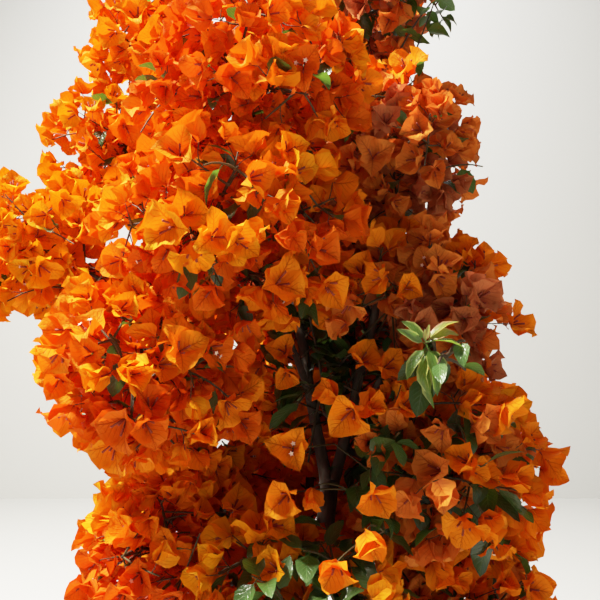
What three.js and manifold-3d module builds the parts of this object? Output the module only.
// An orange bougainvillea grown as a free-standing bush, rooted in level ground.
// Millimetres, +Z up, the origin at the flat cut under the trunk. The viewer stands on the -Y side.
// One trunk rises to a fork at chest height. Two leaders and three stems carry arching boughs,
// and each bough ends in a spray: a mass of blossom and leaves that keeps to a space of its own.
import * as THREE from "three";
import { mergeVertices } from "three/addons/utils/BufferGeometryUtils.js";
import Module from "manifold-3d";

const wasm = await Module();
wasm.setup();

// Driving dimensions of the woody parts
const GAP = 0.3; // clear space left between two pieces that touch
const TRUNK = { sunk: 15, lean: [-6, 10, 430], top: [54, -20, 870], foot: 27, tip: 15 };
const FLARE = { radius: 24, height: 55, ribs: 3, ribDepth: 0.25 }; // the roots' spread at the trunk's foot
const STEM = { root: 10.5, tip: 5 }; // a main stem's radius where it leaves the trunk and enters its spray
const BOUGH = { root: 6.5, tip: 4.6 };
const SPRAY_STEM = 5; // the stem inside a spray, narrowing to a twig
const TWIG = { root: 3.8, tip: 2.6 };
const STEM_SPREAD = 0.12; // how far a stem swings out of its straight way, as a share of it
const STEM_ARRIVAL = 160; // a stem runs straight for this long into its spray
const LOWEST_BOUGH = 150; // no bough starts nearer the ground
const BOUGH_DROP = 0.95; // a bough starts this much lower than its spray, for each millimetre it runs out
const BOUGH_ARCH = 0.28; // how high a bough arches, as a share of its length
// Where the wood enters a spray: how far from its centre, as a share of its half size or of the way there,
// and how much it turns outwards and upwards
const ENTRY = { depth: 0.72, shortest: 0.6, outward: 0.8, upward: 0.45 };

// Driving dimensions of the blossom and leaves, larger than life: each blossom stands for a cluster
// of bracts. Cup, notch and depth are shares of the radius: how far the bracts' tips and the notches
// between them stand forward and out, and how far the base reaches back.
const BLOSSOM = { radius: 104, cup: 0.3, notch: 0.68, notchLift: 0.08, depth: 0.18, heart: 0.03 };
const BLOSSOM_SIZES = [1, 0.85, 0.7, 0.56]; // a blossom takes the first of these shares that there is room for
const LEAF = { length: 110, aspect: 0.56, thickness: 5, sink: 9, widest: 0.42 };
const LEAF_SIZES = [1, 0.75];

// How a spray grows
const FLOWERING_TWIGS = 11; // at most: a twig that finds no room is left out
const LEAF_EVERY = 3; // in a flowering spray every third twig carries a leaf
const SPRAY_SCATTER = { turn: 0.1, height: 40 }; // how unevenly a tier's sprays stand: radians, millimetres
const STEM_END = { aim: [1, 0, 0.25], reach: 0.42 }; // where the stem in a spray ends: out and a little up
const TWIG_ROOTS = { first: 0.12, last: 0.92 }; // twigs leave that stem between these shares of it
const REACHES = [0.86, 0.76, 0.66, 0.54, 0.42]; // how far out of its spray a twig tries to reach
const CORE_REACHES = [0.4, 0.33, 0.26]; // how far the dense middle of a flowering spray fills it
const TWIG_SPREAD = 1.6; // of 2: twigs point everywhere but back along the bough
const TWIG_LIFT = { least: 12, more: 45 }; // how much a blossom looks up, in millimetres at the spray's surface
const MOST_SWING = 1.1; // radians between the way a twig runs and the way its blossom faces
const BLOSSOM_ROOM = 0.7; // blossoms stand this share of their radii apart
const TWIG_ROOM = 0.45; // and keep twigs out of this share of a radius round their hearts
const LEAF_ROOM = 0.55; // and leaves out of this share
const SPACE_MARGIN = 3; // how far a spray stays inside its border with the next one
const LIMB_MARGIN = 15; // how far blossom and leaves stay from every limb's bark
const LOWEST_LEAF = 30; // nothing of a spray comes nearer the ground

// The crown in tiers from the ground up: a tier's height, how much higher its sprays on the right are,
// how many sprays it has and where the first and the last point, how far the crown reaches on each side
// of the trunk, the half sizes of a spray: out, across and up, and how much higher single sprays stand.
// Angles are in degrees from the viewer's side, turning towards +X. The waist leaves a gap towards
// the viewer, through which the fork shows, and the upper tier is open in front.
const TIERS = [
  { name: "skirt", height: 450, tilt: 0, count: 3, first: 60, last: 300,
    left: 265, right: 280, front: 300, back: 300, size: [160, 200, 165] },
  { name: "low", height: 735, tilt: 0, count: 5, first: 2, last: 290,
    left: 375, right: 415, front: 405, back: 410, size: [165, 190, 160], lifts: { 1: -45, 5: 30 } },
  { name: "waist", height: 985, tilt: -75, count: 5, first: 46, last: 314,
    left: 510, right: 465, front: 435, back: 440, size: [170, 190, 160], lifts: { 1: -15, 5: 25 } },
  { name: "middle", height: 1250, tilt: -60, count: 5, first: -20, last: 268,
    left: 635, right: 400, front: 435, back: 450, size: [185, 195, 160], lifts: { 2: -45, 5: -15 } },
  { name: "shoulder", height: 1500, tilt: 0, count: 4, first: -18, last: 252,
    left: 570, right: 345, front: 410, back: 400, size: [185, 205, 165], lifts: { 1: -25, 2: -70, 4: 15 } },
  { name: "upper", height: 1710, tilt: 0, count: 3, first: 76, last: 258,
    left: 455, right: 350, front: 340, back: 330, size: [170, 190, 150], lifts: { 1: 80 } },
  { name: "top", height: 1860, tilt: 0, count: 1, first: 272, last: 272,
    left: 250, right: 160, front: 165, back: 150, size: [140, 150, 140] },
];
// The leafy growth with no blossom: dark leaves in the heart of the bush, and one young shoot in front
const LEAFY = [
  { name: "heart", centre: [45, -105, 1040], size: [110, 130, 160], twigs: 7, leaves: 2, leafLength: 84 },
  { name: "shoot", centre: [178, -335, 1065], size: [85, 85, 95], twigs: 7, leaves: 3, leafLength: 72 },
];

// The stems that grow on into a spray: how far up the trunk each starts, what it passes and what it carries
const STEMS = [
  { name: "leader_left", at: 0.97, via: [-18, -10, 1330], carries: "top_1" },
  { name: "leader_right", at: 0.95, via: [138, -20, 1250], carries: "shoulder_2" },
  { name: "stem_left", at: 0.3, via: [-170, 20, 880], carries: "shoulder_4" },
  { name: "stem_right", at: 0.4, via: [210, 10, 870], carries: "middle_2" },
  { name: "stem_back", at: 0.5, via: [20, 170, 960], carries: "shoulder_3" },
];

const BARK = new THREE.MeshStandardMaterial({ color: "#6a5340", roughness: 0.9, metalness: 0 });
const BRACT = new THREE.MeshStandardMaterial({ color: "#e8650e", roughness: 0.7, metalness: 0 });
const FOLIAGE = new THREE.MeshStandardMaterial({ color: "#3f5f2a", roughness: 0.55, metalness: 0 });

const UP = new THREE.Vector3(0, 0, 1);
const GOLDEN_ANGLE = Math.PI * (3 - Math.sqrt(5));
const point = (xyz) => new THREE.Vector3(...xyz);
const mixed = (a, b, share) => a.clone().lerp(b, share);

// A repeatable stream of numbers from 0 to 1
function seeded(seed) {
  let state = seed >>> 0;
  return () => {
    state = (Math.imul(state, 1664525) + 1013904223) >>> 0;
    return state / 4294967296;
  };
}

// Solids from points and triangles
function solidFrom(points, faces) {
  const geometry = new THREE.BufferGeometry().setFromPoints(points).setIndex(faces.flat());
  const merged = mergeVertices(geometry, 1e-3);
  return new wasm.Manifold(
    new wasm.Mesh({
      numProp: 3,
      vertProperties: merged.attributes.position.array,
      triVerts: new Uint32Array(merged.index.array),
    }),
  );
}

function geometryOf(solid) {
  const { vertProperties, triVerts } = solid.getMesh();
  return new THREE.BufferGeometry()
    .setAttribute("position", new THREE.BufferAttribute(vertProperties, 3))
    .setIndex(new THREE.BufferAttribute(triVerts, 1));
}

// The largest body of a solid, with any sealed hollow filled and any loose scrap dropped
function soundPiece(solid) {
  const bodies = solid.decompose().filter((body) => body.volume() > 0);
  return bodies.sort((a, b) => b.volume() - a.volume())[0];
}

// A round limb along a curve: radiusAt gives its radius at a share of its length and at a turn round it
function limbSolid(curve, radiusAt, sides, steps) {
  const frames = curve.computeFrenetFrames(steps, false);
  const points = [];
  const faces = [];
  for (let ring = 0; ring <= steps; ring++) {
    const along = ring / steps;
    const centre = curve.getPointAt(along);
    for (let side = 0; side < sides; side++) {
      const turn = (2 * Math.PI * side) / sides;
      const radius = radiusAt(along, turn);
      points.push(
        centre
          .clone()
          .addScaledVector(frames.normals[ring], radius * Math.cos(turn))
          .addScaledVector(frames.binormals[ring], radius * Math.sin(turn)),
      );
      if (ring < steps) {
        const a = ring * sides + side;
        const b = ring * sides + ((side + 1) % sides);
        faces.push([a, b, b + sides], [a, b + sides, a + sides]);
      }
    }
  }
  const last = steps * sides;
  for (let side = 1; side < sides - 1; side++) {
    faces.push([0, side + 1, side], [last, last + side, last + side + 1]);
  }
  return solidFrom(points, faces);
}

const taper = (root, tip) => (along) => root + (tip - root) * along;

// One blossom on its twig, as one closed solid: a three-sided twig that flares into a cup
// with three pointed bracts
function blossomSolid({ root, at, facing, roll, radius }) {
  const side = sidewaysOf(facing, roll);
  const heading = at.clone().sub(root).normalize();
  const base = at.clone().addScaledVector(facing, -BLOSSOM.depth * radius);
  const rim = blossomRim({ at, facing, roll, radius });
  const heart = at.clone().addScaledVector(facing, BLOSSOM.heart * radius);
  const rings = [twigRing(root, heading, side, TWIG.root), twigRing(base, facing, side, TWIG.tip)];
  const points = [...rings.flat(), ...rim, heart];
  const faces = [[0, 2, 1]];
  for (let i = 0; i < 3; i++) {
    const next = (i + 1) % 3;
    const [tip, notch, nextTip] = [6 + 2 * i, 7 + 2 * i, 6 + 2 * next];
    faces.push([i, next, 3 + next], [i, 3 + next, 3 + i]);
    faces.push([3 + i, 3 + next, notch], [3 + i, notch, tip], [3 + next, nextTip, notch]);
    faces.push([12, tip, notch], [12, notch, nextTip]);
  }
  return solidFrom(points, faces);
}

// Three points round a twig, the first on the side it is told
function twigRing(centre, heading, side, radius) {
  const start = side.clone().addScaledVector(heading, -side.dot(heading)).normalize();
  return [0, 1, 2].map((i) =>
    centre.clone().addScaledVector(start.clone().applyAxisAngle(heading, (2 * Math.PI * i) / 3), radius),
  );
}

// The rim of a blossom, from bract tip to notch to bract tip
function blossomRim({ at, facing, roll, radius }) {
  const side = sidewaysOf(facing, roll);
  const other = facing.clone().cross(side);
  const rim = [];
  for (let i = 0; i < 6; i++) {
    const isTip = i % 2 === 0;
    const reach = radius * (isTip ? 1 : BLOSSOM.notch);
    const lift = radius * (isTip ? BLOSSOM.cup : BLOSSOM.notchLift);
    const turn = (Math.PI * i) / 3;
    rim.push(
      at
        .clone()
        .addScaledVector(side, reach * Math.cos(turn))
        .addScaledVector(other, reach * Math.sin(turn))
        .addScaledVector(facing, lift),
    );
  }
  return rim;
}

// One leaf: a thin four-cornered blade with its root sunk in the twig
function leafSolid({ at, along, facing, length }) {
  const corners = leafCorners({ at, along, facing, length });
  const middle = at.clone().addScaledVector(along, LEAF.widest * length);
  const half = LEAF.thickness / 2;
  const over = middle.clone().addScaledVector(facing, half);
  const under = middle.clone().addScaledVector(facing, -half);
  const faces = [];
  for (let i = 0; i < 4; i++) {
    const next = (i + 1) % 4;
    faces.push([4, i, next], [5, next, i]);
  }
  return solidFrom([...corners, over, under], faces);
}

function leafCorners({ at, along, facing, length }) {
  const side = facing.clone().cross(along);
  const half = LEAF.aspect * length * 0.5;
  const root = at.clone().addScaledVector(along, -LEAF.sink);
  const middle = at.clone().addScaledVector(along, LEAF.widest * length);
  const tip = at.clone().addScaledVector(along, length);
  return [
    root,
    middle.clone().addScaledVector(side, -half),
    tip,
    middle.clone().addScaledVector(side, half),
  ];
}

// A direction square to the one given, turned round it by roll
function sidewaysOf(facing, roll) {
  const start = Math.abs(facing.z) < 0.9 ? UP : new THREE.Vector3(1, 0, 0);
  const side = start.clone().cross(facing).normalize();
  return side.applyAxisAngle(facing, roll);
}

// Where the sprays are
function crownReach(tier, angle) {
  const forward = Math.cos(angle);
  const sideways = Math.sin(angle);
  const depth = forward > 0 ? tier.front : tier.back;
  const width = sideways > 0 ? tier.right : tier.left;
  return Math.hypot(depth * forward, width * sideways);
}

function planSprays() {
  const sprays = [];
  TIERS.forEach((tier, level) => {
    const random = seeded(101 + level * 17);
    const step = tier.count > 1 ? (tier.last - tier.first) / (tier.count - 1) : 0;
    for (let i = 0; i < tier.count; i++) {
      const turn = (random() - 0.5) * SPRAY_SCATTER.turn;
      const angle = THREE.MathUtils.degToRad(tier.first + step * i) + turn;
      const outward = new THREE.Vector3(Math.sin(angle), -Math.cos(angle), 0);
      const reach = crownReach(tier, angle) - tier.size[0];
      const scatter = (random() - 0.5) * SPRAY_SCATTER.height;
      const lift = tier.lifts?.[i + 1] ?? 0;
      const height = tier.height + tier.tilt * Math.sin(angle) + lift + scatter;
      const centre = outward.clone().multiplyScalar(Math.max(reach, 0)).setZ(height);
      sprays.push({
        name: `${tier.name}_${i + 1}`,
        centre,
        outward,
        across: UP.clone().cross(outward),
        size: tier.size,
        twigs: FLOWERING_TWIGS,
        leaves: 1,
        leafEvery: LEAF_EVERY,
        leafLength: LEAF.length,
        flowering: true,
        material: BRACT,
        seed: 1000 + level * 100 + i,
      });
    }
  });
  LEAFY.forEach((leafy, i) => {
    const centre = point(leafy.centre);
    const outward = centre.clone().setZ(0).normalize();
    sprays.push({
      ...leafy,
      centre,
      outward,
      across: UP.clone().cross(outward),
      leafEvery: 1,
      flowering: false,
      material: FOLIAGE,
      seed: 5000 + i,
    });
  });
  return sprays;
}

// The point a share of the way from a spray's centre to its surface, in a direction out, across and up
function inSpray(spray, [out, across, up], reach) {
  return spray.centre
    .clone()
    .addScaledVector(spray.outward, reach * out * spray.size[0])
    .addScaledVector(spray.across, reach * across * spray.size[1])
    .addScaledVector(UP, reach * up * spray.size[2]);
}

// Does a point lie in the spray's round space, on its own side of every border with another spray?
// A border crosses the way between two sprays, and divides it in the ratio of their widths.
function inOwnSpace(spray, sprays, p) {
  const away = p.clone().sub(spray.centre);
  const share = Math.hypot(
    away.dot(spray.outward) / spray.size[0],
    away.dot(spray.across) / spray.size[1],
    away.z / spray.size[2],
  );
  if (share > 1 || p.z < LOWEST_LEAF) return false;
  return sprays.every((other) => {
    if (other === spray) return true;
    const way = other.centre.clone().sub(spray.centre);
    const border = (way.length() * spray.size[1]) / (spray.size[1] + other.size[1]);
    return away.dot(way.normalize()) < border - SPACE_MARGIN;
  });
}

// How near a point comes to a limb's bark
function barkDistance(limb, p) {
  let nearest = Infinity;
  for (let i = 0; i + 1 < limb.line.length; i++) {
    const segment = new THREE.Line3(limb.line[i], limb.line[i + 1]);
    const on = segment.closestPointToPoint(p, true, new THREE.Vector3());
    const share = i / (limb.line.length - 1);
    nearest = Math.min(nearest, on.distanceTo(p) - limb.radiusAt(share, 0));
  }
  return nearest;
}

const clearOfLimbs = (limbs, points) =>
  points.every((p) => limbs.every((limb) => barkDistance(limb, p) > LIMB_MARGIN));

// The trunk, with its lean, taper and root flare. It is made a little long and cut flat at the ground.
function makeTrunk() {
  const foot = point([0, 0, -TRUNK.sunk]);
  const curve = new THREE.QuadraticBezierCurve3(foot, point(TRUNK.lean), point(TRUNK.top));
  const length = curve.getLength();
  const radiusAt = (along, turn) => {
    const height = Math.max(along * length - TRUNK.sunk, 0);
    const rib = 1 - FLARE.ribDepth * (1 - Math.cos(FLARE.ribs * turn));
    const flare = FLARE.radius * rib * Math.exp(-height / FLARE.height);
    return TRUNK.foot + (TRUNK.tip - TRUNK.foot) * along + flare;
  };
  return { name: "trunk", curve, radiusAt, sides: 10, steps: 12 };
}

// Limbs know their centre line and radius, so that others can start on them and keep clear
function finishLimb(limb) {
  const pieces = 24;
  limb.line = Array.from({ length: pieces + 1 }, (_, i) => limb.curve.getPointAt(i / pieces));
  return limb;
}

// Where the wood enters a spray, and the way it is heading there
function entryOf(spray, fromPoint) {
  const outAndUp = spray.outward.clone().multiplyScalar(ENTRY.outward).addScaledVector(UP, ENTRY.upward);
  const heading = spray.centre.clone().sub(fromPoint).normalize().add(outAndUp).normalize();
  const way = spray.centre.distanceTo(fromPoint);
  const depth = Math.min(ENTRY.depth * spray.size[0], ENTRY.shortest * way);
  return { at: spray.centre.clone().addScaledVector(heading, -depth), heading };
}

// A main stem leaves the trunk, swings out, passes its via point and runs into the spray that it carries
function makeStem(plan, trunk, sprays) {
  const spray = sprays.find((s) => s.name === plan.carries);
  const start = trunk.curve.getPointAt(plan.at);
  const via = point(plan.via);
  const swing = via.clone().sub(start).setZ(0).multiplyScalar(STEM_SPREAD);
  const spread = mixed(start, via, 0.45).add(swing);
  spray.root = entryOf(spray, via);
  const arrival = spray.root.at.clone().addScaledVector(spray.root.heading, -STEM_ARRIVAL);
  const curve = new THREE.CatmullRomCurve3([start, spread, via, arrival, spray.root.at], false, "centripetal");
  return finishLimb({ name: plan.name, curve, radiusAt: taper(STEM.root, STEM.tip), sides: 7, steps: 10 });
}

// A bough starts on the nearest wood a little below its spray, and arches out and up to it
function makeBough(spray, wood) {
  const start = startOfBough(spray, wood);
  const entry = entryOf(spray, start.at);
  const length = entry.at.distanceTo(start.at);
  const above = start.at.clone().addScaledVector(UP, BOUGH_ARCH * length);
  const before = entry.at.clone().addScaledVector(entry.heading, -0.5 * length);
  const curve = new THREE.QuadraticBezierCurve3(start.at, mixed(above, before, 0.6), entry.at);
  spray.root = { at: entry.at, heading: curve.getTangentAt(1) };
  const root = Math.min(BOUGH.root, 0.8 * start.radius);
  const radiusAt = taper(root, BOUGH.tip);
  return finishLimb({ name: `bough_${spray.name}`, curve, radiusAt, sides: 5, steps: 4 });
}

function startOfBough(spray, wood) {
  let best = { cost: Infinity };
  for (const limb of wood) {
    limb.line.forEach((p, i) => {
      const share = i / (limb.line.length - 1);
      if (share > 0.9 || p.z < LOWEST_BOUGH) return;
      const flat = Math.hypot(p.x - spray.centre.x, p.y - spray.centre.y);
      const wanted = spray.centre.z - BOUGH_DROP * flat;
      const cost = flat + 1.2 * Math.abs(p.z - wanted);
      if (cost < best.cost) best = { cost, at: p.clone(), radius: limb.radiusAt(share, 0) };
    });
  }
  return best;
}

// Each limb is cut clear of the wood that was there before it
function limbMesh(limb, earlier) {
  let solid = limbSolid(limb.curve, limb.radiusAt, limb.sides, limb.steps);
  for (const other of earlier) {
    const swollen = (along, turn) => other.radiusAt(along, turn) + GAP;
    solid = solid.subtract(limbSolid(other.curve, swollen, other.sides, other.steps));
  }
  if (limb.name === "trunk") solid = solid.trimByPlane([0, 0, 1], 0);
  return namedMesh(limb.name, soundPiece(solid), BARK);
}

function namedMesh(name, solid, material) {
  const mesh = new THREE.Mesh(geometryOf(solid), material);
  mesh.name = name;
  return mesh;
}

// The rule by which a spray grows: a stem through its middle, and twigs to points spread evenly round it,
// the outermost first. Each twig ends in a blossom, or in leaves alone, and carries leaves on its way.
function growSpray(spray, sprays, limbs) {
  const random = seeded(spray.seed);
  const grown = { stem: sprayStem(spray), twigs: [], leaves: [] };
  const fits = (points) => points.every((p) => inOwnSpace(spray, sprays, p)) && clearOfLimbs(limbs, points);
  const turned = random() * 2 * Math.PI;
  for (let i = 0; i < spray.twigs; i++) {
    const out = 1 - (TWIG_SPREAD * (i + 0.5)) / spray.twigs;
    const round = Math.sqrt(1 - out * out);
    const turn = turned + GOLDEN_ANGLE * i;
    const aim = [out, round * Math.cos(turn), round * Math.sin(turn)];
    const lift = TWIG_LIFT.least + TWIG_LIFT.more * random();
    const roll = 2 * Math.PI * random();
    const leafRoll = 2 * Math.PI * random();
    const facing = inSpray(spray, aim, 1).sub(spray.centre).addScaledVector(UP, lift).normalize();
    const twig = growTwig(spray, grown, aim, facing, roll, fits);
    if (!twig) continue;
    grown.twigs.push(twig);
    for (let k = 0; k < spray.leaves && i % spray.leafEvery === 0; k++) {
      const leaf = growLeaf(twig, leafRoll, k, spray, grown, fits);
      if (leaf) grown.leaves.push(leaf);
    }
  }
  return grown;
}

// The stem inside a spray carries on from the bough, and bends towards the spray's outer side
function sprayStem(spray) {
  const start = spray.root.at.clone().addScaledVector(spray.root.heading, GAP);
  const end = inSpray(spray, STEM_END.aim, STEM_END.reach);
  const bend = start.clone().addScaledVector(spray.root.heading, 0.5 * start.distanceTo(end));
  return new THREE.QuadraticBezierCurve3(start, bend, end);
}

// A twig reaches for its point on the spray's surface, and stops shorter, or with a smaller blossom,
// where the space there is taken
function growTwig(spray, grown, aim, facing, roll, fits) {
  const outward = THREE.MathUtils.clamp(0.5 + 0.55 * aim[0], 0, 1);
  const root = grown.stem.getPoint(THREE.MathUtils.lerp(TWIG_ROOTS.first, TWIG_ROOTS.last, outward));
  for (const size of spray.flowering ? BLOSSOM_SIZES : [0]) {
    for (const reach of REACHES) {
      const at = inSpray(spray, aim, reach);
      if (!fits([at, mixed(root, at, 0.8), mixed(root, at, 0.6), mixed(root, at, 0.4)])) continue;
      const twig = { root, at, facing, roll, radius: BLOSSOM.radius * size };
      if (size === 0) return twig;
      const swing = at.clone().sub(root).angleTo(facing);
      if (swing < MOST_SWING && fits(blossomPoints(twig)) && isRoomFor(twig, grown)) return twig;
    }
  }
  return null;
}

// The points by which a blossom is tested: its heart, its rim, and half way between
function blossomPoints(blossom) {
  const corners = blossomRim(blossom);
  const rim = corners.flatMap((p, i) => [p, mixed(p, corners[(i + 1) % 6], 0.5)]);
  return [blossom.at, ...rim, ...rim.map((p) => mixed(p, blossom.at, 0.5))];
}

// Is the space round a blossom free of the other blossoms and twigs of its spray?
function isRoomFor({ at, radius }, grown) {
  return grown.twigs.every((other) => {
    const apart = at.distanceTo(other.at) > (radius + other.radius) * BLOSSOM_ROOM;
    const places = [0.4, 0.6, 0.8].map((share) => mixed(other.root, other.at, share));
    return apart && places.every((p) => p.distanceTo(at) > radius * TWIG_ROOM);
  });
}

// A leaf stands on a twig, each a third of a turn round from the last, and keeps out of the blossoms
function growLeaf(twig, leafRoll, k, spray, grown, fits) {
  const at = mixed(twig.root, twig.at, spray.flowering ? 0.6 : 0.92 - 0.2 * k);
  const heading = twig.at.clone().sub(twig.root).normalize();
  const sideways = sidewaysOf(heading, leafRoll + (k * 2 * Math.PI) / 3);
  const along = sideways.clone().addScaledVector(heading, 0.7).normalize();
  const facing = along.clone().cross(sideways.clone().cross(heading)).normalize();
  for (const size of LEAF_SIZES) {
    const leaf = { at, along, facing, length: spray.leafLength * size };
    const [, left, tip, right] = leafCorners(leaf);
    const places = [left, tip, right, mixed(left, right, 0.5), mixed(at, tip, 0.2), mixed(at, tip, 0.75)];
    if (fits(places) && isRoomForLeaf(leaf, grown)) return leaf;
  }
  return null;
}

function isRoomForLeaf({ at, along, length }, grown) {
  const middle = at.clone().addScaledVector(along, 0.55 * length);
  const tip = at.clone().addScaledVector(along, length);
  return grown.twigs.every(
    (twig) => Math.min(middle.distanceTo(twig.at), tip.distanceTo(twig.at)) > LEAF_ROOM * twig.radius,
  );
}

function bareTwig({ root, at }) {
  return limbSolid(new THREE.LineCurve3(root, at), taper(TWIG.root, TWIG.tip), 3, 1);
}

// The dense middle of a flowering spray, which its twigs and blossoms stand out of. It is pulled in
// where it would leave the spray's own space, and cut clear of any wood that passes through.
function coreSolid(spray, sprays, limbs) {
  const ball = new THREE.IcosahedronGeometry(1, 0);
  ball.deleteAttribute("normal");
  ball.deleteAttribute("uv");
  const { attributes, index } = mergeVertices(ball, 1e-3);
  const points = [];
  for (let i = 0; i < attributes.position.count; i++) {
    const aim = new THREE.Vector3().fromBufferAttribute(attributes.position, i).toArray();
    const reach = CORE_REACHES.find((share) => inOwnSpace(spray, sprays, inSpray(spray, aim, share)));
    points.push(inSpray(spray, aim, reach ?? CORE_REACHES.at(-1)));
  }
  const faces = [];
  for (let i = 0; i < index.count; i += 3) faces.push([index.getX(i), index.getX(i + 1), index.getX(i + 2)]);
  let core = solidFrom(points, faces);
  for (const limb of limbs) {
    const swollen = (along, turn) => limb.radiusAt(along, turn) + LIMB_MARGIN;
    core = core.subtract(limbSolid(limb.curve, swollen, 5, limb.steps));
  }
  return core;
}

function sprayMesh(spray, sprays, limbs) {
  const grown = growSpray(spray, sprays, limbs);
  const pieces = [
    ...(spray.flowering ? [coreSolid(spray, sprays, limbs)] : []),
    limbSolid(grown.stem, taper(SPRAY_STEM, TWIG.tip), 4, 3),
    ...grown.twigs.map(spray.flowering ? blossomSolid : bareTwig),
    ...grown.leaves.map(leafSolid),
  ];
  return namedMesh(`spray_${spray.name}`, soundPiece(wasm.Manifold.union(pieces)), spray.material);
}

const sprays = planSprays();
const trunk = finishLimb(makeTrunk());
const stems = STEMS.map((plan) => makeStem(plan, trunk, sprays));
const boughs = sprays.filter((spray) => !spray.root).map((spray) => makeBough(spray, [trunk, ...stems]));
const limbs = [trunk, ...stems, ...boughs];

const bush = new THREE.Group();
limbs.forEach((limb, i) => bush.add(limbMesh(limb, limbs.slice(0, i))));
sprays.forEach((spray) => bush.add(sprayMesh(spray, sprays, limbs)));

export default bush;
